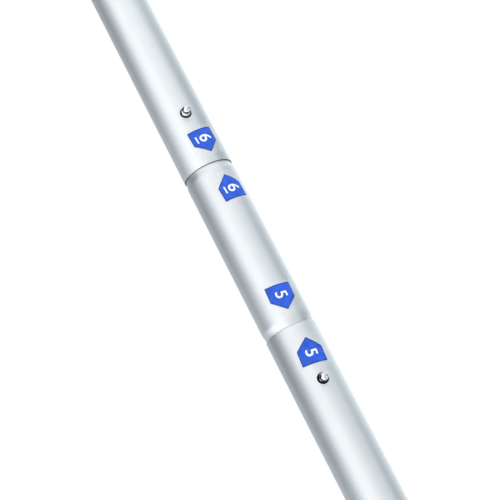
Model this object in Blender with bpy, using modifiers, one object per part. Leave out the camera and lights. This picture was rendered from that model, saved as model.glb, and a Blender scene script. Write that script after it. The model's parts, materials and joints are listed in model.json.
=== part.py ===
"""Sectional avalanche probe, standing upright on its tip, whose point is at the origin.

Four long aluminium tubes are joined by three short couplers. Both ends of a coupler are
swaged down to enter the tubes, and a sprung button in each end snaps through a hole in
the tube. The six snap joints are numbered from the tip up, and a pair of arrow labels
points at each. All lengths are in metres, angles in degrees, and the buttons face -Y.
"""

from math import atan, cos, degrees, pi, radians, sin

import bmesh
import bpy
from mathutils import Matrix

# Tubes and couplers
TUBE_RADIUS = 0.0100
BORE_RADIUS = 0.0093
TUBE_LENGTH = 0.400
TUBES = 4
COUPLER_SHOWN = 0.0707
SPIGOT_RADIUS = 0.0092
SPIGOT_BORE_RADIUS = 0.0084
SPIGOT_LENGTH = 0.045
SPIGOT_CHAMFER = 0.0004
SHOULDER_LENGTH = 0.0034
COUPLER_BORE_RADIUS = 0.0092
SIDES = 32

# Snap buttons, and the holes they come through
BUTTON_FROM_RIM = 0.0228
BUTTON_RADIUS = 0.0020
# How far a button stands out of its tube, for the odd and the even joint of a coupler
BUTTON_PROUD = (0.0034, 0.0045)
DOME_HEIGHT = 0.0019
DOME_STEPS = 5
TENON_RADIUS = 0.0008
HEAD_RADIUS = 0.0014
HEAD_THICKNESS = 0.0005
TUBE_HOLE_RADIUS = 0.0023
COUPLER_HOLE_RADIUS = 0.0022
BUTTON_SIDES = 16

# The V-shaped leaf spring of a button, measured from the rim into the tube
SPRING_WIDTH = 0.0060
SPRING_THICKNESS = 0.0005
SPRING_LEG_OFFSET = 0.0073
SPRING_BEND_RADIUS = 0.0022
SPRING_BEND_START = -0.0078
SPRING_STRAIGHT_START = 0.0160
SPRING_LEG_END = 0.0270
SPRING_BEND_STEPS = 6
TENON_HOLE_RADIUS = 0.00095

# Arrow labels
LABEL_WIDTH = 0.0103
LABEL_BODY = 0.0060
LABEL_POINT = 0.0044
LABEL_INNER_RADIUS = 0.01005
LABEL_OUTER_RADIUS = 0.01020
# Each hand-applied label's distance from the rim to its point, its turn round the tube
# from the buttons, and its twist, for the odd and the even joint of a coupler
TUBE_LABELS = ((0.0062, 4, -5), (0.0043, 11, 3))
COUPLER_LABELS = ((0.0060, 3, -3), (0.0062, 16, 4))

# Tip, and the pin that holds it
TIP_LENGTH = 0.035
TIP_RADIUS = 0.0108
TIP_NOSE_RADIUS = 0.0020
TIP_NOSE_STEPS = 4
TIP_CONE_LENGTH = 0.026
TIP_LAND_LENGTH = 0.005
PLUG_RADIUS = 0.00915
PLUG_CHAMFER = 0.0010
TIP_PLUG_LENGTH = 0.030
PIN_RADIUS = 0.0015
PIN_CHAMFER = 0.0003
PIN_HOLE_RADIUS = 0.00165
PIN_ABOVE_RIM = 0.015
PIN_SIDES = 12

# Grip sleeve and end cap
GRIP_RADIUS = 0.0146
GRIP_BORE_RADIUS = 0.0103
GRIP_LENGTH = 0.120
GRIP_ROUNDING = 0.0020
CAP_THICKNESS = 0.0060
CAP_ROUNDING = 0.0012
CAP_PLUG_LENGTH = 0.020
ROUNDING_STEPS = 4

GAP = 0.0003
MERGE = 0.00001

TUBE_BOTTOMS = [TIP_LENGTH + i * (TUBE_LENGTH + COUPLER_SHOWN) for i in range(TUBES)]
TUBE_TOPS = [bottom + TUBE_LENGTH for bottom in TUBE_BOTTOMS]


def clear_scene():
    for obj in list(bpy.data.objects):
        bpy.data.objects.remove(obj)


def new_collection(name, hidden=False):
    collection = bpy.data.collections.new(name)
    collection.hide_render = hidden
    bpy.context.scene.collection.children.link(collection)
    return collection


def new_material(name, color, roughness, metallic):
    material = bpy.data.materials.new(name)
    material.use_nodes = True
    shader = material.node_tree.nodes["Principled BSDF"]
    shader.inputs["Base Color"].default_value = (*color, 1)
    shader.inputs["Roughness"].default_value = roughness
    shader.inputs["Metallic"].default_value = metallic
    return material


def add_part(name, mesh, material):
    """A sub-part's object, in the probe's collection."""
    obj = bpy.data.objects.new(name, mesh)
    mesh.materials.append(material)
    parts.objects.link(obj)
    return obj


def add_cutter(name, mesh):
    """A hidden helper that cuts or trims a sub-part."""
    obj = bpy.data.objects.new(name, mesh)
    cutters.objects.link(obj)
    obj.hide_render = True
    obj.display_type = "WIRE"
    return obj


def boolean(obj, other, operation):
    modifier = obj.modifiers.new(other.name, "BOOLEAN")
    modifier.operation = operation
    modifier.object = other


def arc(center, radius, start, end, steps):
    """Points on an arc about a centre, from one angle to another."""
    angles = [radians(start + (end - start) * i / steps) for i in range(steps + 1)]
    return [(center[0] + radius * cos(a), center[1] + radius * sin(a)) for a in angles]


def turned(name, outline, material, sides=SIDES, ring=False):
    """A piece turned about Z from (radius, height) points that run down its outer side.

    A ring's outline is a closed loop, and a solid piece's ends lie on the axis.
    """
    count = len(outline)
    edges = [(i, i + 1) for i in range(count - 1)]
    if ring:
        edges.append((count - 1, 0))
    mesh = bpy.data.meshes.new(name)
    mesh.from_pydata([(r, 0, z) for r, z in outline], edges, [])
    obj = add_part(name, mesh, material)
    screw = obj.modifiers.new("Turn", "SCREW")
    screw.steps = screw.render_steps = sides
    screw.use_merge_vertices = True
    screw.merge_threshold = MERGE
    screw.use_smooth_shade = True
    return obj


def bore(obj, name, radius, length, center, sides=BUTTON_SIDES):
    """Cuts a round hole along Y through a point of a sub-part."""
    work = bmesh.new()
    bmesh.ops.create_cone(
        work, cap_ends=True, segments=sides, radius1=radius, radius2=radius, depth=length
    )
    mesh = bpy.data.meshes.new(name)
    work.to_mesh(mesh)
    work.free()
    cutter = add_cutter(name, mesh)
    cutter.matrix_world = Matrix.Translation(center) @ Matrix.Rotation(pi / 2, 4, "X")
    boolean(obj, cutter, "DIFFERENCE")


def snap_joints():
    """Each snap joint's number, its rim's height, and the way into the tube from there."""
    joints = []
    for i in range(TUBES - 1):
        joints.append((2 * i + 1, TUBE_TOPS[i], -1))
        joints.append((2 * i + 2, TUBE_BOTTOMS[i + 1], 1))
    return joints


def button_holes(obj, kind, radius, rims):
    """Cuts the button's hole beside each of these rims."""
    for number, rim, way in snap_joints():
        if rim in rims:
            center = (0, -TUBE_RADIUS, rim + way * BUTTON_FROM_RIM)
            bore(obj, f"{kind}_hole_{number}", radius, TUBE_RADIUS, center)


def make_tubes():
    for i, (bottom, top) in enumerate(zip(TUBE_BOTTOMS, TUBE_TOPS)):
        outline = [(TUBE_RADIUS, top), (TUBE_RADIUS, bottom)]
        outline += [(BORE_RADIUS, bottom), (BORE_RADIUS, top)]
        tube = turned(f"tube_{i + 1}", outline, aluminium, ring=True)
        button_holes(tube, "tube", TUBE_HOLE_RADIUS, (bottom, top))
        if i == 0:
            pin_hole(tube, "tube")


def half_coupler(rim, way):
    """One end of a coupler's outline: outside from the middle to the end, then inside."""
    end = rim + way * SPIGOT_LENGTH
    neck = rim - way * GAP
    body = neck - way * SHOULDER_LENGTH
    outside = [(TUBE_RADIUS, body), (SPIGOT_RADIUS, neck)]
    outside += [(SPIGOT_RADIUS, end - way * SPIGOT_CHAMFER), (SPIGOT_RADIUS - SPIGOT_CHAMFER, end)]
    inside = [(SPIGOT_BORE_RADIUS, end), (SPIGOT_BORE_RADIUS, neck), (COUPLER_BORE_RADIUS, body)]
    return outside, inside


def make_couplers():
    for i in range(TUBES - 1):
        rims = (TUBE_TOPS[i], TUBE_BOTTOMS[i + 1])
        lower_outside, lower_inside = half_coupler(rims[0], -1)
        upper_outside, upper_inside = half_coupler(rims[1], 1)
        outline = upper_outside[::-1] + lower_outside + lower_inside + upper_inside[::-1]
        coupler = turned(f"coupler_{i + 1}", outline, aluminium, ring=True)
        button_holes(coupler, "coupler", COUPLER_HOLE_RADIUS, rims)


def button_outline(crown):
    """A button from its crown's radius down to the head that rivets it to its spring's leg."""
    seat = SPRING_LEG_OFFSET + SPRING_THICKNESS / 2 + GAP / 2
    head = SPRING_LEG_OFFSET - SPRING_THICKNESS / 2 - GAP / 2
    dome = [(0, crown)]
    for x, y in arc((0, 0), 1, 90, 0, DOME_STEPS)[1:]:
        dome.append((BUTTON_RADIUS * x, crown - DOME_HEIGHT * (1 - y)))
    return dome + [
        (BUTTON_RADIUS, seat),
        (TENON_RADIUS, seat),
        (TENON_RADIUS, head),
        (HEAD_RADIUS, head),
        (HEAD_RADIUS, head - HEAD_THICKNESS),
        (0, head - HEAD_THICKNESS),
    ]


def make_buttons():
    for number, rim, way in snap_joints():
        outline = button_outline(TUBE_RADIUS + BUTTON_PROUD[(number - 1) % 2])
        button = turned(f"snap_button_{number}", outline, chrome, sides=BUTTON_SIDES)
        button.location = (0, 0, rim + way * BUTTON_FROM_RIM)
        button.rotation_euler = (pi / 2, 0, 0)


def spring_path():
    """The spring's middle line, as (distance into the tube, offset from the axis)."""
    bend = (SPRING_BEND_START, 0)
    leg = [(SPRING_LEG_END, SPRING_LEG_OFFSET), (SPRING_STRAIGHT_START, SPRING_LEG_OFFSET)]
    turn = arc(bend, SPRING_BEND_RADIUS, 90, 270, SPRING_BEND_STEPS)
    return leg + turn + [(s, -y) for s, y in leg[::-1]]


def make_springs():
    path = spring_path()
    for number, rim, way in snap_joints():
        name = f"snap_spring_{number}"
        mesh = bpy.data.meshes.new(name)
        work = bmesh.new()
        line = [work.verts.new((-SPRING_WIDTH / 2, y, rim + way * s)) for s, y in path]
        edges = [work.edges.new(pair) for pair in zip(line, line[1:])]
        strip = bmesh.ops.extrude_edge_only(work, edges=edges)["geom"]
        far_side = [v for v in strip if isinstance(v, bmesh.types.BMVert)]
        bmesh.ops.translate(work, verts=far_side, vec=(SPRING_WIDTH, 0, 0))
        work.to_mesh(mesh)
        work.free()
        spring = add_part(name, mesh, spring_steel)
        leaf = spring.modifiers.new("Leaf", "SOLIDIFY")
        leaf.thickness = SPRING_THICKNESS
        leaf.offset = 0
        leaf.use_even_offset = True
        center = (0, -SPRING_LEG_OFFSET, rim + way * BUTTON_FROM_RIM)
        bore(spring, f"tenon_hole_{number}", TENON_HOLE_RADIUS, 4 * SPRING_THICKNESS, center)


def arrow_prism(name, rim, way, place):
    """A house-shaped prism through the tube's front wall, its point towards the joint."""
    to_point, turn, twist = place
    half_width, half_length = LABEL_WIDTH / 2, (LABEL_BODY + LABEL_POINT) / 2
    shoulder = LABEL_POINT - half_length
    outline = [
        (0, -half_length),
        (half_width, shoulder),
        (half_width, half_length),
        (-half_width, half_length),
        (-half_width, shoulder),
    ]
    work = bmesh.new()
    face = work.faces.new([work.verts.new((x, -TUBE_RADIUS / 2, way * z)) for x, z in outline])
    grown = bmesh.ops.extrude_face_region(work, geom=[face])["geom"]
    front = [v for v in grown if isinstance(v, bmesh.types.BMVert)]
    bmesh.ops.translate(work, verts=front, vec=(0, -TUBE_RADIUS, 0))
    bmesh.ops.recalc_face_normals(work, faces=work.faces)
    mesh = bpy.data.meshes.new(name)
    work.to_mesh(mesh)
    work.free()
    prism = add_cutter(name, mesh)
    prism.matrix_world = (
        Matrix.Rotation(radians(turn), 4, "Z")
        @ Matrix.Translation((0, 0, rim + way * (to_point + half_length)))
        @ Matrix.Rotation(radians(-twist), 4, "Y")
    )
    return prism


def make_label(name, rim, way, place):
    """A curved plate: the part of a thin sleeve round the tube that lies in the prism."""
    height = 2 * (place[0] + LABEL_BODY + LABEL_POINT)
    low, high = sorted((rim, rim + way * height))
    outline = [(LABEL_OUTER_RADIUS, high), (LABEL_OUTER_RADIUS, low)]
    outline += [(LABEL_INNER_RADIUS, low), (LABEL_INNER_RADIUS, high)]
    label = turned(name, outline, blue_film, ring=True)
    boolean(label, arrow_prism(name + "_prism", rim, way, place), "INTERSECT")


def make_labels():
    for number, rim, way in snap_joints():
        on_tube = TUBE_LABELS[(number - 1) % 2]
        on_coupler = COUPLER_LABELS[(number - 1) % 2]
        make_label(f"label_{number}_on_tube", rim, way, on_tube)
        make_label(f"label_{number}_on_coupler", rim, -way, on_coupler)


def pin_hole(obj, kind):
    center = (0, 0, TIP_LENGTH + PIN_ABOVE_RIM)
    bore(obj, f"{kind}_pin_hole", PIN_HOLE_RADIUS, 4 * TUBE_RADIUS, center, sides=PIN_SIDES)


def make_tip():
    """A cone with a rounded nose, a land wider than the tube, and a plug inside the tube."""
    rise = TIP_CONE_LENGTH - TIP_NOSE_RADIUS
    cone_angle = degrees(atan((TIP_RADIUS - TIP_NOSE_RADIUS) / rise))
    top = TIP_LENGTH + TIP_PLUG_LENGTH
    land_top = TIP_CONE_LENGTH + TIP_LAND_LENGTH
    nose = arc((0, TIP_NOSE_RADIUS), TIP_NOSE_RADIUS, -cone_angle, -90, TIP_NOSE_STEPS)
    outline = [
        (0, top),
        (PLUG_RADIUS - PLUG_CHAMFER, top),
        (PLUG_RADIUS, top - PLUG_CHAMFER),
        (PLUG_RADIUS, TIP_LENGTH - GAP),
        (TUBE_RADIUS, TIP_LENGTH - GAP),
        (TIP_RADIUS, land_top),
        (TIP_RADIUS, TIP_CONE_LENGTH),
    ]
    outline += nose[:-1] + [(0, 0)]
    pin_hole(turned("probe_tip", outline, hard_aluminium), "tip")


def make_tip_pin():
    """A round pin across the tube and the tip's plug, its ends level with the tube."""
    half = TUBE_RADIUS - GAP
    outline = [
        (0, half),
        (PIN_RADIUS - PIN_CHAMFER, half),
        (PIN_RADIUS, half - PIN_CHAMFER),
        (PIN_RADIUS, PIN_CHAMFER - half),
        (PIN_RADIUS - PIN_CHAMFER, -half),
        (0, -half),
    ]
    pin = turned("tip_pin", outline, spring_steel, sides=PIN_SIDES)
    pin.location = (0, 0, TIP_LENGTH + PIN_ABOVE_RIM)
    pin.rotation_euler = (pi / 2, 0, 0)


def make_grip():
    """A soft sleeve round the top of the uppermost tube, rounded at both mouths."""
    top = TUBE_TOPS[-1]
    bottom = top - GRIP_LENGTH
    round_x = GRIP_RADIUS - GRIP_ROUNDING
    upper = arc((round_x, top - GRIP_ROUNDING), GRIP_ROUNDING, 90, 0, ROUNDING_STEPS)
    lower = arc((round_x, bottom + GRIP_ROUNDING), GRIP_ROUNDING, 0, -90, ROUNDING_STEPS)
    outline = upper + lower + [(GRIP_BORE_RADIUS, bottom), (GRIP_BORE_RADIUS, top)]
    turned("grip_sleeve", outline, foam_rubber, ring=True)


def make_end_cap():
    """A flat cap over the tube and the grip's end, with a plug inside the tube."""
    seat = TUBE_TOPS[-1] + GAP
    top = seat + CAP_THICKNESS
    plug_end = seat - CAP_PLUG_LENGTH
    corner = (GRIP_RADIUS - CAP_ROUNDING, top - CAP_ROUNDING)
    outline = [(0, top)] + arc(corner, CAP_ROUNDING, 90, 0, ROUNDING_STEPS)
    outline += [
        (GRIP_RADIUS, seat),
        (PLUG_RADIUS, seat),
        (PLUG_RADIUS, plug_end + PLUG_CHAMFER),
        (PLUG_RADIUS - PLUG_CHAMFER, plug_end),
        (0, plug_end),
    ]
    turned("end_cap", outline, black_plastic)


clear_scene()
parts = new_collection("avalanche_probe")
cutters = new_collection("cutters", hidden=True)

aluminium = new_material("satin_aluminium", (0.78, 0.80, 0.82), 0.35, 1.0)
hard_aluminium = new_material("hard_aluminium", (0.60, 0.62, 0.64), 0.30, 1.0)
chrome = new_material("chrome", (0.85, 0.86, 0.88), 0.08, 1.0)
spring_steel = new_material("spring_steel", (0.52, 0.53, 0.55), 0.28, 1.0)
blue_film = new_material("blue_film", (0.05, 0.14, 0.72), 0.30, 0.0)
foam_rubber = new_material("foam_rubber", (0.03, 0.03, 0.035), 0.80, 0.0)
black_plastic = new_material("black_plastic", (0.02, 0.02, 0.022), 0.45, 0.0)

make_tubes()
make_couplers()
make_buttons()
make_springs()
make_labels()
make_tip()
make_tip_pin()
make_grip()
make_end_cap()
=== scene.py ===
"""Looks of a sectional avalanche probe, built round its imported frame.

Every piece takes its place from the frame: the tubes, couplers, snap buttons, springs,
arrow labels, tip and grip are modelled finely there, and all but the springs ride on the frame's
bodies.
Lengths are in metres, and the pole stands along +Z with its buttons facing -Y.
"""

import json
from collections import namedtuple
from math import atan, cos, degrees, pi, radians, sin

import bmesh
import bpy
from bpy.props import FloatProperty, FloatVectorProperty, IntProperty, PointerProperty
from mathutils import Matrix, Vector


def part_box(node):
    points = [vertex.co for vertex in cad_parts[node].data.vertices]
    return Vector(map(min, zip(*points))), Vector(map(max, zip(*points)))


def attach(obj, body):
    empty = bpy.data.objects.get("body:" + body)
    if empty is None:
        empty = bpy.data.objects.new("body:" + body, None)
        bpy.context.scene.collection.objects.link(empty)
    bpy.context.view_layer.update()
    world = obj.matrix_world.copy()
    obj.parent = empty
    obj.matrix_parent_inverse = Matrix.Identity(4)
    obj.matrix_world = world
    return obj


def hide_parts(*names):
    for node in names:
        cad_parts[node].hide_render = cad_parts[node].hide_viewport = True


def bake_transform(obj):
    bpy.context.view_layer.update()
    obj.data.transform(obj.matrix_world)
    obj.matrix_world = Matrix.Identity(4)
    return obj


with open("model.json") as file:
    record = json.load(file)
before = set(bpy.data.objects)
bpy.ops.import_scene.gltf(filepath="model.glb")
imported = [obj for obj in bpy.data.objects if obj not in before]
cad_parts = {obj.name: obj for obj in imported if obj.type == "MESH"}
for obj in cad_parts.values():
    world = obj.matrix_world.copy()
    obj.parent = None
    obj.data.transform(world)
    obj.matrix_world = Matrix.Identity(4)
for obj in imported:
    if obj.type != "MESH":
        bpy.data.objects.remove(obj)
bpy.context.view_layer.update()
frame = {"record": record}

bl_info = {
    "name": "Avalanche probe looks",
    "version": (1, 0, 0),
    "blender": (4, 5, 0),
    "location": "3D View > Sidebar > Probe",
    "description": "Builds the finished surfaces of a sectional avalanche probe",
    "category": "Object",
}

MM = 0.001
COUPLERS = 3
# Each hand-applied label's distance from the rim to its point, its turn round the tube
# from the buttons and its twist, in metres and degrees, for odd and even joints
TUBE_LABELS = ((6.2 * MM, 4, -5), (4.3 * MM, 11, 3))
COUPLER_LABELS = ((6.0 * MM, 3, -3), (6.2 * MM, 16, 4))

# Points nearer than this are one
WELD = 0.002 * MM
# Room left round a pin in its holes and on both sides of a riveted leaf
CLEARANCE = 0.15 * MM
# From a long tube's outside to the plugs in its ends
PLUG_INSET = 0.85 * MM

RIDES_ON = {
    node: body for body, nodes in frame["record"]["behaviour"]["bodies"].items() for node in nodes
}
TUBE_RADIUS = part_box("tube_2")[1].x

SnapJoint = namedtuple("SnapJoint", "number rim way tube coupler")


def snap_joints():
    """Each snap joint, with its rim's height and the way from there into the tube."""
    joints = []
    for k in range(1, COUPLERS + 1):
        joints.append(SnapJoint(2 * k - 1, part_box(f"tube_{k}")[1].z, -1, k, k))
        joints.append(SnapJoint(2 * k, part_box(f"tube_{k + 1}")[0].z, 1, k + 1, k))
    return joints


# ---------------------------------------------------------------- sizes and colours


def length(name, description, default):
    return FloatProperty(
        name=name, description=description, default=default, unit="LENGTH", precision=5
    )


def angle(name, description, default):
    return FloatProperty(
        name=name, description=description, default=radians(default), subtype="ANGLE"
    )


def colour(name, description, default):
    return FloatVectorProperty(
        name=name, description=description, default=default, subtype="COLOR", min=0, max=1
    )


class ProbeSizes(bpy.types.PropertyGroup):
    """Sizes that the frame's boxes do not give"""

    segments: IntProperty(name="Segments", description="Steps round a turned piece", default=160)
    wall: length("Tube wall", "Thickness of the long tubes' wall", 0.7 * MM)
    edge: length("Edge round", "Radius of a deburred tube edge", 0.2 * MM)
    spigot: length("Spigot radius", "Outer radius of a coupler's swaged end", 9.2 * MM)
    spigot_bore: length("Spigot bore", "Inner radius of a coupler's swaged end", 8.4 * MM)
    coupler_bore: length("Coupler bore", "Inner radius of a coupler's middle", 9.2 * MM)
    shoulder: length("Shoulder", "Length of the taper from a coupler's body to its neck", 3.58 * MM)
    stop: length("Stop", "Step at the neck that a tube's end butts against", 0.35 * MM)
    neck_gap: length("Neck gap", "Distance from a tube's rim to the taper", 0.12 * MM)
    tube_hole: length("Tube hole", "Radius of the button's hole in a tube", 2.3 * MM)
    coupler_hole: length("Coupler hole", "Radius of the button's hole in a coupler", 2.2 * MM)
    leaf: length("Leaf thickness", "Thickness of the spring's leaf", 0.5 * MM)
    leg_offset: length("Leg offset", "Distance of the spring's legs from the axis", 7.3 * MM)


class ProbeColours(bpy.types.PropertyGroup):
    """Colours of the probe's finishes"""

    aluminium: colour("Aluminium", "Satin anodised tube", (0.90, 0.90, 0.905))
    tip: colour("Tip", "Hard anodised tip", (0.52, 0.54, 0.57))
    steel: colour("Spring steel", "Springs and pin", (0.46, 0.47, 0.49))
    chrome: colour("Chrome", "Polished buttons", (0.80, 0.80, 0.81))
    # The drilled colour is painted shade, near black, on the button holes' walls and in the grooves
    # under the buttons' domes
    drilled: colour("Drilled edge", "Blackened wall of a drilled hole", (0.035, 0.035, 0.04))
    # The sawn colour is painted shade: it darkens the tubes' end faces into the dark line at each
    # joint's rim
    sawn: colour("Sawn edge", "Oxidised end of a cut tube", (0.13, 0.135, 0.15))
    print_blue: colour("Print", "Blue of the arrow labels", (0.007, 0.088, 0.60))
    print_edge: colour("Print edge", "Dark line round the print", (0.003, 0.03, 0.33))
    number: colour("Number", "Figures on the labels", (0.93, 0.95, 0.97))
    foam: colour("Grip foam", "Closed-cell foam sleeve", (0.016, 0.017, 0.019))
    plastic: colour("Cap plastic", "Moulded end cap", (0.018, 0.018, 0.02))


class StudioSettings(bpy.types.PropertyGroup):
    """The camera and the light"""

    azimuth: angle("Azimuth", "Camera's turn round the pole", -17.3)
    distance: length("Distance", "From the camera to the pole's axis", 0.5462)
    drop: length("Drop", "Camera's height under the sixth joint's rim", 0.1968)
    pitch: angle("Pitch", "Camera's tilt upwards", 16.495)
    pan: angle("Pan", "Camera's turn to the right", 0.075)
    roll: angle("Roll", "Camera's turn about its view", -27.3)
    lens: FloatProperty(name="Lens", description="Focal length in millimetres", default=108.1)
    world_strength: FloatProperty(
        name="Studio", description="Brightness of the studio's reflections", default=1.0
    )
    ceiling_watts: FloatProperty(
        name="Ceiling", description="Power of the ceiling light in watts", default=60.0
    )


# ---------------------------------------------------------------- materials


class NodeMaker:
    """Adds and links the nodes of one material."""

    def __init__(self, name):
        self.material = bpy.data.materials.new(name)
        self.material.use_nodes = True
        self.tree = self.material.node_tree
        self.shader = self.tree.nodes["Principled BSDF"]
        self.object_place = None

    def add(self, kind, links=(), **values):
        node = self.tree.nodes.new("ShaderNode" + kind)
        for key, value in values.items():
            if key in node.bl_rna.properties:
                setattr(node, key, value)
            else:
                node.inputs[key.replace("_", " ")].default_value = value
        for socket, source in dict(links).items():
            self.tree.links.new(source, node.inputs[socket])
        return node

    def place(self, scale=(1, 1, 1)):
        """Object coordinates, stretched."""
        if self.object_place is None:
            self.object_place = self.add("TexCoord").outputs["Object"]
        return self.add("Mapping", {"Vector": self.object_place}, Scale=scale).outputs["Vector"]

    def noise(self, scale, stretch=(1, 1, 1), detail=3.0):
        node = self.add(
            "TexNoise", {"Vector": self.place(stretch)}, Scale=scale, Detail=detail, Roughness=0.55
        )
        return node.outputs["Fac"]

    def ramp(self, factor, low, high, start=0.35, end=0.65):
        """A colour or number between two values, as a factor crosses a band."""
        node = self.add("MapRange", {"Value": factor})
        limits = {"From Min": start, "From Max": end, "To Min": low, "To Max": high}
        for socket, value in limits.items():
            node.inputs[socket].default_value = value
        return node.outputs["Result"]

    def mix(self, factor, one, other):
        node = self.add("Mix", {"Factor": factor}, data_type="RGBA")
        for socket, value in ((node.inputs[6], one), (node.inputs[7], other)):
            if isinstance(value, bpy.types.NodeSocket):
                self.tree.links.new(value, socket)
            else:
                socket.default_value = (*value, 1)
        return node.outputs[2]

    def set(self, **values):
        for key, value in values.items():
            self.shader.inputs[key.replace("_", " ")].default_value = value

    def drive(self, socket, source):
        self.tree.links.new(source, self.shader.inputs[socket])

    def bump(self, height, strength, distance, under=None):
        node = self.add("Bump", {"Height": height}, Strength=strength, Distance=distance)
        if under:
            self.tree.links.new(under, node.inputs["Normal"])
        self.drive("Normal", node.outputs["Normal"])
        return node.outputs["Normal"]


def shade(base, factor):
    return tuple(min(1.0, channel * factor) for channel in base)


def satin_aluminium(colours):
    """Drawn, etched and clear anodised tube: fine lines along it under a soft satin grain."""
    maker = NodeMaker("satin_aluminium")
    base = tuple(colours.aluminium)
    maker.set(Metallic=1.0)
    cloud = maker.noise(90, detail=2.0)
    lines = maker.noise(2600, stretch=(1, 1, 0.01), detail=2.0)
    grain = maker.noise(9000, detail=2.0)
    soft = maker.mix(maker.ramp(cloud, 0.0, 1.0), shade(base, 0.975), base)
    drawn = maker.mix(maker.ramp(lines, 0.0, 0.35), soft, shade(base, 0.95))
    maker.drive("Base Color", drawn)
    maker.drive("Roughness", maker.ramp(grain, 0.46, 0.54, 0.3, 0.7))
    fine = maker.bump(lines, 0.05, 0.02 * MM)
    maker.bump(grain, 0.06, 0.01 * MM, under=fine)
    return maker.material


def cut_edge(name, base):
    """Torn bare metal whose dark colour is painted shade, on hole walls, tube ends and the buttons'
    grooves.
    """
    maker = NodeMaker(name)
    torn = maker.noise(2400, detail=4.0)
    maker.set(Metallic=0.6)
    toned = maker.mix(maker.ramp(torn, 0.0, 1.0), shade(base, 0.5), shade(base, 1.5))
    maker.drive("Base Color", toned)
    maker.drive("Roughness", maker.ramp(torn, 0.5, 0.8))
    maker.bump(torn, 0.4, 0.03 * MM)
    return maker.material


def polished_chrome(colours):
    """Bright plating with faint rubs, and a painted dark reflection, near black, round the dome's
    lower flank.
    """
    maker = NodeMaker("polished_chrome")
    base, painted_dark_reflection = tuple(colours.chrome), (0.035, 0.034, 0.036)
    maker.set(Metallic=1.0)
    rubs = maker.noise(1400, stretch=(1, 1, 0.15), detail=4.0)
    rubbed = maker.mix(maker.ramp(rubs, 0.0, 1.0, 0.55, 0.75), base, shade(base, 0.9))
    # Painted dark reflection: the dome's lower flank, from the flank attribute with some noise, goes
    # near black
    flank = maker.add("Attribute", attribute_name="flank").outputs["Fac"]
    uneven = maker.add("Math", operation="ADD")
    maker.tree.links.new(flank, uneven.inputs[0])
    maker.tree.links.new(maker.ramp(maker.noise(700, detail=2.0), -0.15, 0.15), uneven.inputs[1])
    painted_reflection_mask = maker.ramp(uneven.outputs[0], 0.0, 1.0, 0.48, 0.66)
    maker.drive("Base Color", maker.mix(painted_reflection_mask, rubbed, painted_dark_reflection))
    maker.drive("Roughness", maker.ramp(rubs, 0.04, 0.12, 0.5, 0.8))
    maker.bump(rubs, 0.03, 0.01 * MM)
    return maker.material


def rolled_steel(colours):
    """Strip steel with its rolling grain along the leaf."""
    maker = NodeMaker("rolled_steel")
    base, stained = tuple(colours.steel), (0.30, 0.27, 0.24)
    maker.set(Metallic=1.0)
    grain = maker.noise(3200, stretch=(1, 1, 0.04), detail=3.0)
    stain = maker.noise(260, detail=3.0)
    drawn = maker.mix(maker.ramp(grain, 0.0, 1.0), shade(base, 0.85), base)
    maker.drive("Base Color", maker.mix(maker.ramp(stain, 0.0, 0.5, 0.5, 0.8), drawn, stained))
    maker.drive("Roughness", maker.ramp(grain, 0.22, 0.38))
    maker.bump(grain, 0.15, 0.02 * MM)
    return maker.material


def turned_aluminium(colours):
    """Hard anodised point with the tool's rings round it and pale scuffs over it."""
    maker = NodeMaker("turned_aluminium")
    base = tuple(colours.tip)
    maker.set(Metallic=1.0)
    rings = maker.noise(5200, stretch=(0.02, 0.02, 1), detail=2.0)
    scuffs = maker.noise(420, stretch=(1, 1, 0.25), detail=5.0)
    toned = maker.mix(maker.ramp(rings, 0.0, 1.0), shade(base, 0.86), base)
    scuffed = maker.mix(maker.ramp(scuffs, 0.0, 0.8, 0.55, 0.72), toned, shade(base, 1.45))
    maker.drive("Base Color", scuffed)
    maker.drive("Roughness", maker.ramp(scuffs, 0.30, 0.46))
    maker.bump(rings, 0.25, 0.02 * MM)
    return maker.material


def printed_film(name, base):
    """Ink under a clear laminate, a little uneven in tone."""
    maker = NodeMaker(name)
    tone = maker.noise(420, detail=3.0)
    speck = maker.noise(5200, detail=2.0)
    maker.set(Specular_IOR_Level=0.25)
    uneven = maker.mix(maker.ramp(tone, 0.0, 1.0), shade(base, 0.82), shade(base, 1.2))
    maker.drive("Base Color", maker.mix(maker.ramp(speck, 0.0, 0.03), uneven, (1.0, 1.0, 1.0)))
    maker.drive("Roughness", maker.ramp(tone, 0.25, 0.38))
    maker.bump(tone, 0.05, 0.02 * MM)
    return maker.material


def clear_film():
    """The transparent carrier round the print, seen only by its sheen."""
    maker = NodeMaker("clear_film")
    maker.set(Alpha=0.05, Specular_IOR_Level=0.3)
    haze = maker.noise(300, detail=3.0)
    clouded, clear = (0.90, 0.92, 0.95), (0.98, 0.98, 1.0)
    maker.drive("Base Color", maker.mix(maker.ramp(haze, 0.0, 1.0), clouded, clear))
    maker.drive("Roughness", maker.ramp(haze, 0.2, 0.34))
    maker.bump(haze, 0.04, 0.02 * MM)
    return maker.material


def grip_foam(colours):
    """Closed-cell foam: a fine pitted skin, paler where hands have rubbed it."""
    maker = NodeMaker("grip_foam")
    base = tuple(colours.foam)
    cells = maker.add("TexVoronoi", {"Vector": maker.place()}, Scale=2100.0).outputs["Distance"]
    rubbed = maker.noise(60, detail=4.0)
    toned = maker.mix(maker.ramp(cells, 0.0, 1.0, 0.0, 0.6), shade(base, 0.6), shade(base, 1.3))
    worn = maker.mix(maker.ramp(rubbed, 0.0, 0.5, 0.5, 0.8), toned, shade(base, 2.6))
    maker.drive("Base Color", worn)
    maker.drive("Roughness", maker.ramp(rubbed, 0.72, 0.9))
    maker.set(Sheen_Weight=0.05, Sheen_Roughness=0.5, Specular_IOR_Level=0.3)
    maker.bump(cells, 0.5, 0.12 * MM)
    return maker.material


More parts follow.
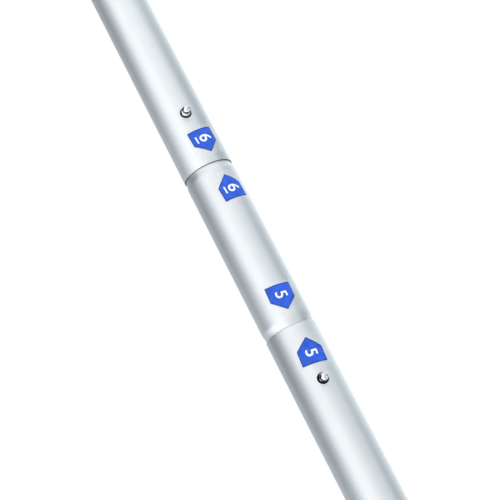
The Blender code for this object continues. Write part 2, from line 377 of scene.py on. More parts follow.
def moulded_plastic(colours):
    """Spark-eroded mould grain on black plastic."""
    maker = NodeMaker("moulded_plastic")
    base = tuple(colours.plastic)
    grain = maker.noise(3600, detail=3.0)
    wear = maker.noise(140, detail=4.0)
    worn = maker.mix(maker.ramp(wear, 0.0, 0.5, 0.5, 0.8), base, shade(base, 2.2))
    maker.drive("Base Color", worn)
    maker.drive("Roughness", maker.ramp(grain, 0.42, 0.58))
    maker.bump(grain, 0.3, 0.04 * MM)
    return maker.material


# ---------------------------------------------------------------- mesh work


def arc(center, radius, start, end, steps):
    """Points on an arc about a centre, from one angle to another, in degrees."""
    angles = [radians(start + (end - start) * i / steps) for i in range(steps + 1)]
    return [(center[0] + radius * cos(a), center[1] + radius * sin(a)) for a in angles]


def spin_outline(outline, steps, ring=False):
    """A bmesh of (radius, height) points turned about Z; a ring's outline is a closed loop."""
    work = bmesh.new()
    line = [work.verts.new((r, 0, z)) for r, z in outline]
    pairs = list(zip(line, line[1:])) + ([(line[-1], line[0])] if ring else [])
    edges = [work.edges.new(pair) for pair in pairs]
    bmesh.ops.spin(
        work,
        geom=line + edges,
        cent=(0, 0, 0),
        axis=(0, 0, 1),
        angle=2 * pi,
        steps=steps,
        use_merge=True,
    )
    bmesh.ops.remove_doubles(work, verts=work.verts, dist=WELD)
    bmesh.ops.recalc_face_normals(work, faces=work.faces)
    return work


def new_object(name, work, *materials):
    mesh = bpy.data.meshes.new(name)
    work.to_mesh(mesh)
    work.free()
    for material in materials:
        mesh.materials.append(material)
    obj = bpy.data.objects.new(name, mesh)
    bpy.context.scene.collection.objects.link(obj)
    return obj


def finish(obj, body, node=None, sharp=32):
    """Shades a piece, sets it on its body and lets it stand for its frame node."""
    obj.data.shade_smooth()
    obj.data.set_sharp_from_angle(angle=radians(sharp))
    if body:
        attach(obj, body)
    if node:
        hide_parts(node)
    return obj


def drill(obj, holes, hole_wall_shade=None):
    """Cuts round holes along Y, given as (centre, radius, length), and keeps the result."""
    for center, radius, depth in holes:
        work = bmesh.new()
        place = Matrix.Translation(center) @ Matrix.Rotation(pi / 2, 4, "X")
        bmesh.ops.create_cone(
            work, cap_ends=True, segments=64, radius1=radius, radius2=radius, depth=depth, matrix=place
        )
        bit = new_object("drill_bit", work, *filter(None, [hole_wall_shade]))
        cut = obj.modifiers.new("Drill", "BOOLEAN")
        # A given material goes on the hole's cut wall, as painted shade
        cut.material_mode = "TRANSFER" if hole_wall_shade else "INDEX"
        cut.operation = "DIFFERENCE"
        cut.object = bit
        bpy.context.view_layer.update()
        graph = bpy.context.evaluated_depsgraph_get()
        drilled = bpy.data.meshes.new_from_object(obj.evaluated_get(graph))
        obj.modifiers.clear()
        drilled.name = obj.name
        obj.data = drilled
        bpy.data.objects.remove(bit)
    return obj


def front_hole(joint, radius):
    """A hole through the front wall where the joint's button comes out."""
    low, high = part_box(f"snap_button_{joint.number}")
    return (0, -TUBE_RADIUS, (low.z + high.z) / 2), radius, TUBE_RADIUS


def wall_outline(inner, outer, low, high, edge):
    """A tube wall's section with its four edges rounded, down the outside and up the bore."""
    steps = 3
    return (
        arc((outer - edge, high - edge), edge, 90, 0, steps)
        + arc((outer - edge, low + edge), edge, 0, -90, steps)
        + arc((inner + edge, low + edge), edge, -90, -180, steps)
        + arc((inner + edge, high - edge), edge, 180, 90, steps)
    )


# ---------------------------------------------------------------- operators


class PROBE_OT_tubes(bpy.types.Operator):
    """Build the long tubes with their deburred rims and button holes"""

    bl_idname = "probe.tubes"
    bl_label = "Tubes"

    # A face whose normal rises more than this from level is on a sawn end
    sawn_slope = radians(40)

    def execute(self, context):
        sizes = context.scene.probe_sizes
        material = satin_aluminium(context.scene.probe_colours)
        # Painted shade, near black, on the button holes' walls
        cut = cut_edge("drilled_edge_painted_shade", tuple(context.scene.probe_colours.drilled))
        # Painted shade on the tubes' end faces, for the dark line at each joint's rim
        sawn = cut_edge("sawn_edge_painted_shade", tuple(context.scene.probe_colours.sawn))
        for k in range(1, COUPLERS + 2):
            low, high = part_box(f"tube_{k}")
            outline = wall_outline(TUBE_RADIUS - sizes.wall, TUBE_RADIUS, low.z, high.z, sizes.edge)
            work = spin_outline(outline, sizes.segments, True)
            # End faces take the sawn edge's painted shade
            for face in work.faces:
                face.material_index = int(abs(face.normal.z) > sin(self.sawn_slope))
            tube = new_object(f"long_tube_{k}", work, material, sawn)
            holes = [front_hole(j, sizes.tube_hole) for j in snap_joints() if j.tube == k]
            if k == 1:
                pin_low, pin_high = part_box("tip_pin")
                middle = (pin_low + pin_high) / 2
                holes.append((middle, (pin_high.x - pin_low.x) / 2 + CLEARANCE, 3 * TUBE_RADIUS))
            finish(drill(tube, holes, cut), RIDES_ON[f"tube_{k}"], f"tube_{k}")
        return {"FINISHED"}


def swage(sizes, rim, way, steps=12):
    """A coupler's shoulder and bore, eased from the stop at the neck out to the body."""
    neck = rim - way * sizes.neck_gap
    stop = sizes.spigot + sizes.stop
    outside, inside = [(sizes.spigot, neck)], []
    for i in range(steps + 1):
        share = i / steps
        ease = (1 - cos(share * pi)) / 2
        z = neck - way * share * sizes.shoulder
        outside.append((stop + (TUBE_RADIUS - stop) * ease, z))
        inside.append((sizes.spigot_bore + (sizes.coupler_bore - sizes.spigot_bore) * ease, z))
    return outside, inside


class PROBE_OT_couplers(bpy.types.Operator):
    """Build the couplers with both ends swaged down to enter the tubes"""

    bl_idname = "probe.couplers"
    bl_label = "Couplers"

    chamfer = 0.4 * MM

    def execute(self, context):
        sizes = context.scene.probe_sizes
        material = satin_aluminium(context.scene.probe_colours)
        # Painted shade, near black, on the button holes' walls
        cut = cut_edge("drilled_edge_painted_shade", tuple(context.scene.probe_colours.drilled))
        for k in range(1, COUPLERS + 1):
            low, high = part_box(f"coupler_{k}")
            lower, upper = [j for j in snap_joints() if j.coupler == k]
            lower_out, lower_in = swage(sizes, lower.rim, lower.way)
            upper_out, upper_in = swage(sizes, upper.rim, upper.way)
            top = [(sizes.spigot_bore, high.z), (sizes.spigot - self.chamfer, high.z)]
            top += [(sizes.spigot, high.z - self.chamfer)]
            bottom = [(sizes.spigot, low.z + self.chamfer), (sizes.spigot - self.chamfer, low.z)]
            bottom += [(sizes.spigot_bore, low.z)]
            outline = top + upper_out + lower_out[::-1] + bottom + lower_in + upper_in[::-1]
            coupler = new_object(
                f"swaged_coupler_{k}", spin_outline(outline, sizes.segments, True), material
            )
            drill(coupler, [front_hole(j, sizes.coupler_hole) for j in (lower, upper)], cut)
            finish(coupler, RIDES_ON[f"coupler_{k}"], f"coupler_{k}", sharp=38)
        return {"FINISHED"}


class PROBE_OT_buttons(bpy.types.Operator):
    """Build the domed snap buttons, each riveted through its spring's leg"""

    bl_idname = "probe.buttons"
    bl_label = "Snap buttons"

    dome_radius = 1.76 * MM
    groove = 0.28 * MM
    groove_depth = 0.16 * MM
    round_edge = 0.2 * MM
    tenon_radius = 0.8 * MM
    rivet_radius = 1.4 * MM

    def execute(self, context):
        sizes = context.scene.probe_sizes
        material = polished_chrome(context.scene.probe_colours)
        # Painted shade, near black, in the groove under each dome
        soil = cut_edge("groove_painted_shade", tuple(context.scene.probe_colours.drilled))
        for joint in snap_joints():
            node = f"snap_button_{joint.number}"
            low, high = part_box(node)
            radius = (high.x - low.x) / 2
            work = spin_outline(self.outline(radius, -low.y, -high.y, sizes), 64)
            self.soil(work, -low.y - self.dome_radius)
            place = Matrix.Translation((0, 0, (low.z + high.z) / 2))
            place = place @ Matrix.Rotation(pi / 2, 4, "X")
            bmesh.ops.transform(work, matrix=place, verts=work.verts)
            button = new_object(f"button_{joint.number}", work, material, soil)
            finish(button, node, node)
        return {"FINISHED"}

    def soil(self, work, base):
        """Marks the groove under the dome for painted shade, and how far down the dome each point is,
        which sets the painted dark reflection on the flank.
        """
        flank = work.verts.layers.float.new("flank")
        slack = 0.01
        for vert in work.verts:
            rise = (vert.co.z - base) / self.dome_radius
            vert[flank] = 1 - rise if rise > -slack else 0
        barely_inside = 0.03 * MM
        for face in work.faces:
            middle = face.calc_center_median()
            in_groove = base - self.groove < middle.z < base
            inside = middle.xy.length < self.dome_radius - barely_inside
            face.material_index = int(in_groove and inside)

    def outline(self, radius, crown, head_end, sizes):
        """From the crown down the dome, its groove and the flared barrel to the tenon and rivet."""
        seat = sizes.leg_offset + sizes.leaf / 2 + CLEARANCE
        head = sizes.leg_offset - sizes.leaf / 2 - CLEARANCE
        base, neck = crown - self.dome_radius, self.dome_radius - self.groove_depth
        dome = arc((0, base), self.dome_radius, 90, 0, 16)[1:]
        dome += [(neck, base), (neck, base - self.groove), (self.dome_radius, base - self.groove)]
        flare_start, flare_end = TUBE_RADIUS - 0.3 * MM, TUBE_RADIUS - 1.0 * MM
        dome += [(self.dome_radius, flare_start), (radius, flare_end)]
        edge = self.round_edge
        foot = arc((radius - edge, seat + edge), edge, 0, -90, 3)
        rivet = arc((self.rivet_radius - edge, head_end + edge), edge, 0, -90, 3)
        tenon = [(self.tenon_radius, seat), (self.tenon_radius, head), (self.rivet_radius, head)]
        return [(0, crown)] + dome + foot + tenon + rivet + [(0, head_end)]


class PROBE_OT_springs(bpy.types.Operator):
    """Build the V-shaped leaf springs"""

    bl_idname = "probe.springs"
    bl_label = "V springs"

    pad_length = 11 * MM
    bend_radius = 2.2 * MM
    rivet_hole = 0.95 * MM
    hole_reach = 2 * MM
    # How far the spring's hinge line leans along the pole for each step out
    lean = 0.2

    def execute(self, context):
        sizes = context.scene.probe_sizes
        material = rolled_steel(context.scene.probe_colours)
        for joint in snap_joints():
            node = f"snap_spring_{joint.number}"
            low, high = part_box(node)
            end, bend = (high.z, low.z) if joint.way > 0 else (low.z, high.z)
            path = self.path(sizes, end, bend, joint.way)
            leaf = self.leaf(path, low, high, sizes)
            spring = new_object(f"leaf_spring_{joint.number}", leaf, material)
            (_, _, height), radius, _ = front_hole(joint, self.rivet_hole)
            drill(spring, [((0, -sizes.leg_offset, height), radius, self.hole_reach)])
            finish(spring, None, node)
            self.hinge(spring, joint, sizes, end, bend)
        return {"FINISHED"}

    def path(self, sizes, end, bend, way):
        """The leaf's middle line, as (offset from the axis, height), from leg end to leg end."""
        radius = self.bend_radius
        straight = end - way * self.pad_length
        centre = bend + way * (radius + sizes.leaf / 2)
        slope_steps = turn_steps = 12
        leg = [(sizes.leg_offset, end), (sizes.leg_offset, (end + straight) / 2)]
        for i in range(slope_steps):
            share = i / slope_steps
            offset = sizes.leg_offset + (radius - sizes.leg_offset) * share
            leg.append((offset, straight + (centre - straight) * share))
        angles = [pi * i / turn_steps for i in range(turn_steps + 1)]
        turn = [(radius * cos(a), centre - way * radius * sin(a)) for a in angles]
        return leg + turn + [(-y, z) for y, z in leg[::-1]]

    def leaf(self, path, low, high, sizes):
        """A strip along the path, given its thickness and softened edges."""
        work = bmesh.new()
        line = [work.verts.new((low.x, y, z)) for y, z in path]
        edges = [work.edges.new(pair) for pair in zip(line, line[1:])]
        strip = bmesh.ops.extrude_edge_only(work, edges=edges)["geom"]
        side = [v for v in strip if isinstance(v, bmesh.types.BMVert)]
        bmesh.ops.translate(work, verts=side, vec=(high.x - low.x, 0, 0))
        for face in work.faces:
            face.smooth = True
        middle = list(work.faces)
        bmesh.ops.recalc_face_normals(work, faces=middle)
        bmesh.ops.solidify(work, geom=middle, thickness=sizes.leaf)
        bmesh.ops.recalc_face_normals(work, faces=work.faces)
        return work

    def hinge(self, spring, joint, sizes, end, bend):
        """Bakes the spring's place into its mesh; the button's leg is not bent."""
        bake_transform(spring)


def wrap(work, radius):
    """Bends a flat plate round the tube: X becomes the way round, and -Y the height over it."""
    step = 0.35 * MM
    reach = max(abs(v.co.x) for v in work.verts)
    count = int(reach / step)
    for i in range(-count, count + 1):
        whole = list(work.verts) + list(work.edges) + list(work.faces)
        bmesh.ops.bisect_plane(work, geom=whole, plane_co=(i * step, 0, 0), plane_no=(1, 0, 0))
    for vert in work.verts:
        angle = vert.co.x / TUBE_RADIUS
        out = radius - vert.co.y
        vert.co = (out * sin(angle), -out * cos(angle), vert.co.z)
    bmesh.ops.recalc_face_normals(work, faces=work.faces)


def thicken(work, thickness):
    """Raises a flat plate's faces towards -Y into a closed slab."""
    faces = list(work.faces)
    grown = bmesh.ops.extrude_face_region(work, geom=faces, use_keep_orig=True)["geom"]
    lifted = [v for v in grown if isinstance(v, bmesh.types.BMVert)]
    bmesh.ops.translate(work, verts=lifted, vec=(0, -thickness, 0))


class PROBE_OT_labels(bpy.types.Operator):
    """Build the numbered arrow labels: clear film, blue print and white figures"""

    bl_idname = "probe.labels"
    bl_label = "Arrow labels"

    half_width = 5.15 * MM
    body_length = 6.0 * MM
    point_length = 4.4 * MM
    margin = 1.3 * MM
    corner = 1.0 * MM
    print_border = 0.38 * MM
    figure_shift = 1.0 * MM
    figure_size = 6.98 * MM
    five_size = 6.5 * MM
    figure_bold = 0.06 * MM
    # Each layer's height over the tube and its thickness, in millimetres
    layers = {"film": (0.03, 0.04), "arrow": (0.08, 0.02), "figure": (0.11, 0.02)}

    def execute(self, context):
        colours = context.scene.probe_colours
        self.film = clear_film()
        self.inks = (
            printed_film("blue_print", tuple(colours.print_blue)),
            printed_film("print_edge", tuple(colours.print_edge)),
        )
        self.white = printed_film("white_figure", tuple(colours.number))
        for joint in snap_joints():
            spots = (TUBE_LABELS, COUPLER_LABELS)
            for kind, way, spot in zip(("tube", "coupler"), (joint.way, -joint.way), spots):
                self.label(joint, kind, way, *spot[(joint.number - 1) % 2])
        return {"FINISHED"}

    def label(self, joint, kind, way, to_point, turn, twist):
        node = f"label_{joint.number}_on_{kind}"
        middle = to_point + (self.body_length + self.point_length) / 2
        place = (
            Matrix.Rotation(radians(turn), 4, "Z")
            @ Matrix.Translation((0, 0, joint.rim + way * middle))
        )
        pieces = (
            ("film", self.sheet(), (self.film,), None),
            ("arrow", self.arrow(way), self.inks, node),
            ("figure", self.figure(joint.number, way), (self.white,), None),
        )
        for layer, work, materials, stands_for in pieces:
            height, thickness = self.layers[layer]
            bmesh.ops.rotate(
                work, cent=(0, 0, 0), matrix=Matrix.Rotation(radians(-twist), 3, "Y"), verts=work.verts
            )
            thicken(work, thickness * MM)
            wrap(work, TUBE_RADIUS + height * MM)
            bmesh.ops.transform(work, matrix=place, verts=work.verts)
            piece = new_object(f"{layer}_{joint.number}_{kind}", work, *materials)
            finish(piece, RIDES_ON[node], stands_for)

    def sheet(self):
        """The film's rectangle, its corners cut round."""
        work = bmesh.new()
        half_x = self.half_width + self.margin
        half_z = (self.body_length + self.point_length) / 2 + self.margin
        corners = [(-half_x, -half_z), (half_x, -half_z), (half_x, half_z), (-half_x, half_z)]
        verts = [work.verts.new((x, 0, z)) for x, z in corners]
        work.faces.new(verts)
        bmesh.ops.bevel(
            work,
            geom=verts,
            offset=self.corner,
            segments=4,
            profile=0.5,
            affect="VERTICES",
            material=-1,
        )
        return work

    def arrow(self, way):
        """The house-shaped print with a darker line round it, its point towards the joint."""
        work = bmesh.new()
        half = (self.body_length + self.point_length) / 2
        shoulder = self.point_length - half
        corners = [
            (0, -half),
            (self.half_width, shoulder),
            (self.half_width, half),
            (-self.half_width, half),
            (-self.half_width, shoulder),
        ]
        face = work.faces.new([work.verts.new((x, 0, way * z)) for x, z in corners])
        work.normal_update()
        bmesh.ops.inset_region(
            work,
            faces=[face],
            thickness=self.print_border,
            use_boundary=True,
            use_even_offset=True,
        )
        for edge_face in work.faces:
            edge_face.material_index = int(edge_face is not face)
        return work

    def figure(self, number, way):
        """A bold figure lying on its side, its foot to the left; a six has a bar under it."""
        curve = bpy.data.curves.new("figure", "FONT")
        curve.body = str(number)
        curve.size = self.five_size if number == 5 else self.figure_size
        curve.offset = self.figure_bold
        curve.align_x = "CENTER"
        curve.resolution_u = 6
        text = bpy.data.objects.new("figure", curve)
        bpy.context.scene.collection.objects.link(text)
        bpy.context.view_layer.update()
        graph = bpy.context.evaluated_depsgraph_get()
        mesh = bpy.data.meshes.new_from_object(text.evaluated_get(graph))
        bpy.data.objects.remove(text)
        work = bmesh.new()
        work.from_mesh(mesh)
        bpy.data.meshes.remove(mesh)
        bmesh.ops.remove_doubles(work, verts=work.verts, dist=WELD)
        if number == 6:
            bar = [work.verts.new(p) for p in self.bar_corners()]
            work.faces.new(bar)
        self.centre_and_turn(work, way)
        return work

    def bar_corners(self):
        """The bar under a six, in the text's own plane."""
        half, top, bottom = 1.45 * MM, -1.1 * MM, -1.65 * MM
        return [(-half, bottom, 0), (half, bottom, 0), (half, top, 0), (-half, top, 0)]

    def centre_and_turn(self, work, way):
        """Sets the figure in the wide end of the plate, its head to +X, to be read along -Z."""
        low = Vector([min(v.co[i] for v in work.verts) for i in range(3)])
        high = Vector([max(v.co[i] for v in work.verts) for i in range(3)])
        middle = (low + high) / 2
        for vert in work.verts:
            x, y = vert.co.x - middle.x, vert.co.y - middle.y
            vert.co = (y, 0, way * self.figure_shift - x)
        bmesh.ops.recalc_face_normals(work, faces=work.faces)


class PROBE_OT_tip(bpy.types.Operator):
    """Build the turned tip and the pin that holds it in the lowest tube"""

    bl_idname = "probe.tip"
    bl_label = "Tip"

    def execute(self, context):
        colours = context.scene.probe_colours
        sizes = context.scene.probe_sizes
        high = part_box("probe_tip")[1]
        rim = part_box("tube_1")[0].z
        pin_low, pin_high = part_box("tip_pin")
        middle = (pin_low + pin_high) / 2
        pin_radius = (pin_high.x - pin_low.x) / 2
        outline = self.tip_outline(high, rim)
        work = spin_outline(outline, sizes.segments)
        tip = new_object("turned_tip", work, turned_aluminium(colours))
        drill(tip, [(middle, pin_radius + CLEARANCE, 3 * TUBE_RADIUS)])
        finish(tip, RIDES_ON["probe_tip"], "probe_tip", sharp=24)
        work = self.pin(pin_radius, (pin_high.y - pin_low.y) / 2)
        place = Matrix.Translation(middle) @ Matrix.Rotation(pi / 2, 4, "X")
        bmesh.ops.transform(work, matrix=place, verts=work.verts)
        pin = new_object("roll_pin", work, rolled_steel(colours))
        finish(pin, RIDES_ON["tip_pin"], "tip_pin")
        return {"FINISHED"}

    def tip_outline(self, high, rim):
        """From the plug's top down over the land, a fine groove and the cone to the nose."""
        land_radius, nose = high.x, 2.0 * MM
        cone_end, land_end = rim - 9.0 * MM, rim - 4.0 * MM
        plug, plug_chamfer = TUBE_RADIUS - PLUG_INSET, 1.0 * MM
        collar, collar_edge = rim - 0.3 * MM, 0.2 * MM
        groove_top, groove_end, groove_slope = rim - 1.6 * MM, rim - 2.6 * MM, 0.2 * MM
        groove_floor = TUBE_RADIUS - 0.35 * MM
        land_edge, cone_edge = 0.5 * MM, 0.8 * MM
        cone_angle = degrees(atan((land_radius - nose) / (cone_end - nose)))
        return (
            [(0, high.z), (plug - plug_chamfer, high.z)]
            + [(plug, high.z - plug_chamfer), (plug, collar)]
            + arc((TUBE_RADIUS - collar_edge, collar - collar_edge), collar_edge, 90, 0, 3)
            + [(TUBE_RADIUS, groove_top), (groove_floor, groove_top - groove_slope)]
            + [(groove_floor, groove_end + groove_slope), (TUBE_RADIUS, groove_end)]
            + arc((land_radius - land_edge, land_end - land_edge), land_edge, 75, 0, 4)
            + arc((land_radius - cone_edge, cone_end + 0.2 * MM), cone_edge, 0, -cone_angle, 4)
            + arc((0, nose), nose, -cone_angle, -90, 10)
        )

    def pin(self, radius, half):
        """A rolled spring pin: a tube wall that stops short of closing, chamfered at its ends."""
        inner, chamfer, slot = radius - 0.45 * MM, 0.25 * MM, radians(24)
        section = [
            (inner, half),
            (radius - chamfer, half),
            (radius, half - chamfer),
            (radius, chamfer - half),
            (radius - chamfer, -half),
            (inner, -half),
        ]
        work = bmesh.new()
        face = work.faces.new([work.verts.new((r, 0, z)) for r, z in section])
        bmesh.ops.spin(
            work,
            geom=[face] + list(work.edges) + list(work.verts),
            cent=(0, 0, 0),
            axis=(0, 0, 1),
            angle=2 * pi - slot,
            steps=32,
        )
        bmesh.ops.remove_doubles(work, verts=work.verts, dist=WELD)
        bmesh.ops.recalc_face_normals(work, faces=work.faces)
        return work


class PROBE_OT_grip(bpy.types.Operator):
    """Build the grooved foam grip and the moulded cap that plugs the uppermost tube"""

    bl_idname = "probe.grip"
    bl_label = "Grip and cap"

    def execute(self, context):
        colours = context.scene.probe_colours
        segments = context.scene.probe_sizes.segments
        low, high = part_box("grip_sleeve")
        sleeve = spin_outline(self.sleeve_outline(low, high), segments, True)
        grip = new_object("foam_grip", sleeve, grip_foam(colours))
        finish(grip, RIDES_ON["grip_sleeve"], "grip_sleeve", sharp=50)
        low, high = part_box("end_cap")
        work = spin_outline(self.cap_outline(low, high), segments)
        cap = new_object("plug_cap", work, moulded_plastic(colours))
        finish(cap, RIDES_ON["end_cap"], "end_cap", sharp=40)
        return {"FINISHED"}

    def sleeve_outline(self, low, high):
        """The sleeve's section, rounded at its mouths, with shallow grooves for the fingers."""
        radius, bore, mouth = high.x, TUBE_RADIUS + 0.1 * MM, 2.0 * MM
        groove, depth, grooves, groove_steps = 3.2 * MM, 1.0 * MM, 6, 12
        pitch = (high.z - low.z) / (grooves + 1)
        outside = arc((radius - mouth, high.z - mouth), mouth, 90, 0, 8)
        for i in range(grooves):
            middle = high.z - (i + 1) * pitch
            for k in range(groove_steps + 1):
                share = k / groove_steps
                dip = depth * (1 - cos(2 * pi * share)) / 2
                outside.append((radius - dip, middle + groove * (1 - 2 * share)))
        outside += arc((radius - mouth, low.z + mouth), mouth, 0, -90, 8)
        edge = 0.4 * MM
        return (
            outside
            + arc((bore + edge, low.z + edge), edge, -90, -180, 3)
            + arc((bore + edge, high.z - edge), edge, 180, 90, 3)
        )

    def cap_outline(self, low, high):
        """The cap's section, with a fine ring let into its top and another into its side."""
        radius, edge, seat = high.x, 1.2 * MM, high.z - 6.0 * MM
        plug, plug_chamfer = TUBE_RADIUS - PLUG_INSET, 1.0 * MM
        ring_depth, slope = 0.35 * MM, 0.2 * MM
        inner, outer, ring_floor = 8.0 * MM, 9.1 * MM, high.z - ring_depth
        upper, lower, side_floor = seat + 2.2 * MM, seat + 1.2 * MM, radius - ring_depth
        top = [(0, high.z), (inner, high.z), (inner + slope, ring_floor)]
        top += [(outer - slope, ring_floor), (outer, high.z)]
        top += arc((radius - edge, high.z - edge), edge, 90, 0, 6)
        side = [(radius, upper), (side_floor, upper - slope), (side_floor, lower + slope)]
        side += [(radius, lower), (radius, seat)]
        foot = [(plug, seat), (plug, low.z + plug_chamfer), (plug - plug_chamfer, low.z), (0, low.z)]
        return top + side + foot


# The brightness that reflections show round the pole, as (degrees from the camera's side,
# level), in the light that comes in nearly level and in the light from above
LOW_RING = (
    (-180, 1.00),
    (-150, 0.60),
    (-115, 0.60),
    (-85, 0.90),
    (-55, 1.85),
    (-35, 1.25),
    (-10, 1.55),
    (10, 1.00),
    (40, 0.60),
    (65, 1.00),
    (85, 0.95),
    (120, 0.70),
    (150, 1.20),
    (180, 1.00),
)
HIGH_RING = (
    (-180, 0.75),
    (-150, 0.35),
    (-120, 0.65),
    (-95, 0.40),
    (-70, 0.15),
    (-52, 0.40),
    (-40, 1.40),
    (-20, 0.90),
    (10, 1.10),
    (40, 1.25),
    (65, 0.90),
    (90, 0.65),
    (120, 1.05),
    (150, 1.40),
    (180, 0.75),
)
BRIGHTEST = 1.9
# Black flags between the lights, and the camera: centre and half width round, centre and
# half height up, in degrees
FLAGS = (
    (-84, 32, 30, 23),
    (89, 20, 2, 13),
    (-8, 11, -40, 10),
)
FLAG_LEVEL = 0.02
# How much less red than blue the light from the sides holds, how fast that grows with the
# turn from the camera's side, and how much of the red's loss the green shares
COOLNESS = 0.2
COOL_TURN = 0.9
GREEN_SHARE = 0.35
# Where the low ring begins to give way and where the high ring has taken over, in degrees up
RING_CHANGE = (2, 32)


class PROBE_OT_studio(bpy.types.Operator):
    """Set up the floor, the soft studio light and the camera"""

    bl_idname = "probe.studio"
    bl_label = "Studio"

    floor_reach = 30
    floor_drop = 0.2 * MM
    floor_tones = ((0.875, 0.875, 0.875), (0.885, 0.885, 0.885))
    lamp_size = 3.0
    lamp_place = (0.4, -0.6, 3.6)

    def execute(self, context):
        studio = context.scene.probe_studio
        context.scene.view_settings.view_transform = "Standard"
        self.floor()
        self.world(studio)
        self.ceiling(studio)
        self.camera(studio)
        return {"FINISHED"}

    def floor(self):
        work = bmesh.new()
        bmesh.ops.create_grid(work, x_segments=8, y_segments=8, size=self.floor_reach)
        bmesh.ops.translate(work, verts=work.verts, vec=(0, 0, -self.floor_drop))
        maker = NodeMaker("pale_floor")
        tone = maker.noise(6, detail=3.0)
        maker.drive("Base Color", maker.mix(maker.ramp(tone, 0.0, 1.0), *self.floor_tones))
        maker.set(Roughness=0.9)
        floor = new_object("studio_floor", work, maker.material)
        floor.visible_glossy = False

    def world(self, studio):
        """White light, whose reflections show soft lamps and black flags round the pole."""
        world = bpy.data.worlds.new("studio")
        bpy.context.scene.world = world
        world.use_nodes = True
        self.tree = world.node_tree
        self.tree.nodes.clear()
        turned = self.add("VectorRotate", Vector=self.add("TexCoord").outputs["Generated"])
        turned.rotation_type = "Z_AXIS"
        turned.inputs["Angle"].default_value = -studio.azimuth
        split = self.add("SeparateXYZ", Vector=turned.outputs["Vector"])
        front = self.maths("MULTIPLY", split.outputs["Y"], -1)
        azimuth = self.maths("ARCTAN2", split.outputs["X"], front)
        height = self.maths("ARCSINE", split.outputs["Z"])
        rise = self.add("MapRange", Value=height)
        rise.interpolation_type = "SMOOTHSTEP"
        rise.inputs["From Min"].default_value = radians(RING_CHANGE[0])
        rise.inputs["From Max"].default_value = radians(RING_CHANGE[1])
        soft = self.blend(
            rise.outputs["Result"], self.ring(azimuth, LOW_RING), self.ring(azimuth, HIGH_RING)
        )
        light = self.add("Background", Color=self.flagged(soft, azimuth, height))
        light.inputs["Strength"].default_value = studio.world_strength * BRIGHTEST
        white = self.add("Background")
        white.inputs["Color"].default_value = (1, 1, 1, 1)
        seen = self.add("MixShader", Fac=self.add("LightPath").outputs["Is Glossy Ray"])
        self.tree.links.new(white.outputs[0], seen.inputs[1])
        self.tree.links.new(light.outputs[0], seen.inputs[2])
        self.add("OutputWorld", Surface=seen.outputs[0])

    def add(self, kind, **links):
        node = self.tree.nodes.new("ShaderNode" + kind)
        for socket, source in links.items():
            self.tree.links.new(source, node.inputs[socket])
        return node

    def maths(self, operation, *values):
        node = self.add("Math")
        node.operation = operation
        for socket, value in zip(node.inputs, values):
            if isinstance(value, bpy.types.NodeSocket):
                self.tree.links.new(value, socket)
            else:
                socket.default_value = value
        return node.outputs[0]

    def blend(self, factor, one, other):
        node = self.add("Mix")
        node.data_type = "RGBA"
        for index, source in ((0, factor), (6, one), (7, other)):
            self.tree.links.new(source, node.inputs[index])
        return node.outputs[2]

    def ring(self, azimuth, levels):
        """The light's colour round the pole, cooler away from the camera's side."""
        share = self.add("MapRange", Value=azimuth)
        share.inputs["From Min"].default_value = -pi
        share.inputs["From Max"].default_value = pi
        ring = self.add("ValToRGB", Fac=share.outputs["Result"])
        ring.color_ramp.interpolation = "EASE"
        stops = ring.color_ramp.elements
        while len(stops) < len(levels):
            stops.new(0.5)
        for stop, (turn, level) in zip(stops, levels):
            warmth = 1 - COOLNESS * sin(COOL_TURN * radians(abs(turn)))
            tint = Vector((warmth, 1 - GREEN_SHARE + GREEN_SHARE * warmth, 1))
            stop.position = (turn + 180) / 360
            stop.color = (*(tint * 3 / sum(tint) * level / BRIGHTEST), 1)
        return ring.outputs["Color"]

    def flagged(self, soft, azimuth, height):
        """The soft light with the black flags cut out of it."""
        black = self.add("RGB").outputs[0]
        black.default_value = (FLAG_LEVEL, FLAG_LEVEL, FLAG_LEVEL, 1)
        for turn, half_width, up, half_height in FLAGS:
            aside = self.maths("WRAP", self.maths("SUBTRACT", azimuth, radians(turn)), pi, -pi)
            across = self.maths("COMPARE", aside, 0, radians(half_width))
            along = self.maths("COMPARE", height, radians(up), radians(half_height))
            soft = self.blend(self.maths("MULTIPLY", across, along), soft, black)
        return soft

    def ceiling(self, studio):
        lamp = bpy.data.lights.new("ceiling", "AREA")
        lamp.shape = "DISK"
        lamp.size = self.lamp_size
        lamp.energy = studio.ceiling_watts
        obj = bpy.data.objects.new("ceiling", lamp)
        obj.location = self.lamp_place
        obj.visible_glossy = False
        bpy.context.scene.collection.objects.link(obj)

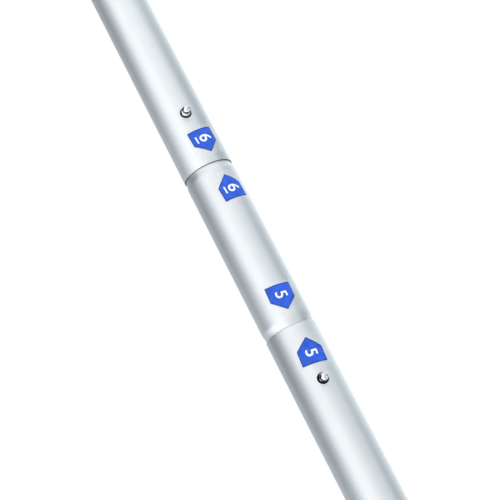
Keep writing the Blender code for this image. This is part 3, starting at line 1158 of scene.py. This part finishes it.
    def camera(self, studio):
        data = bpy.data.cameras.new("camera")
        data.lens = studio.lens
        data.sensor_width = 36
        data.clip_start, data.clip_end = 0.01, 100
        camera = bpy.data.objects.new("camera", data)
        bpy.context.scene.collection.objects.link(camera)
        height = snap_joints()[-1].rim - studio.drop
        camera.matrix_world = (
            Matrix.Rotation(studio.azimuth, 4, "Z")
            @ Matrix.Translation((0, -studio.distance, height))
            @ Matrix.Rotation(-studio.pan, 4, "Z")
            @ Matrix.Rotation(pi / 2 + studio.pitch, 4, "X")
            @ Matrix.Rotation(studio.roll, 4, "Z")
        )
        bpy.context.scene.camera = camera


class PROBE_PT_panel(bpy.types.Panel):
    """Lists the probe's operators and sizes"""

    bl_idname = "PROBE_PT_panel"
    bl_label = "Avalanche probe"
    bl_space_type = "VIEW_3D"
    bl_region_type = "UI"
    bl_category = "Probe"

    def draw(self, context):
        for operator in OPERATORS:
            self.layout.operator(operator.bl_idname)
        scene = context.scene
        for group in (scene.probe_sizes, scene.probe_colours, scene.probe_studio):
            box = self.layout.box()
            for name in group.__annotations__:
                box.prop(group, name)


OPERATORS = (
    PROBE_OT_tubes,
    PROBE_OT_couplers,
    PROBE_OT_buttons,
    PROBE_OT_springs,
    PROBE_OT_labels,
    PROBE_OT_tip,
    PROBE_OT_grip,
    PROBE_OT_studio,
)
CLASSES = (ProbeSizes, ProbeColours, StudioSettings, *OPERATORS, PROBE_PT_panel)


def register():
    for cls in CLASSES:
        bpy.utils.register_class(cls)
    bpy.types.Scene.probe_sizes = PointerProperty(type=ProbeSizes)
    bpy.types.Scene.probe_colours = PointerProperty(type=ProbeColours)
    bpy.types.Scene.probe_studio = PointerProperty(type=StudioSettings)


def unregister():
    del bpy.types.Scene.probe_studio
    del bpy.types.Scene.probe_colours
    del bpy.types.Scene.probe_sizes
    for cls in reversed(CLASSES):
        bpy.utils.unregister_class(cls)


def main():
    register()
    bpy.ops.probe.tubes()
    bpy.ops.probe.couplers()
    bpy.ops.probe.buttons()
    bpy.ops.probe.springs()
    bpy.ops.probe.labels()
    bpy.ops.probe.tip()
    bpy.ops.probe.grip()
    bpy.ops.probe.studio()


if __name__ == "__main__":
    main()
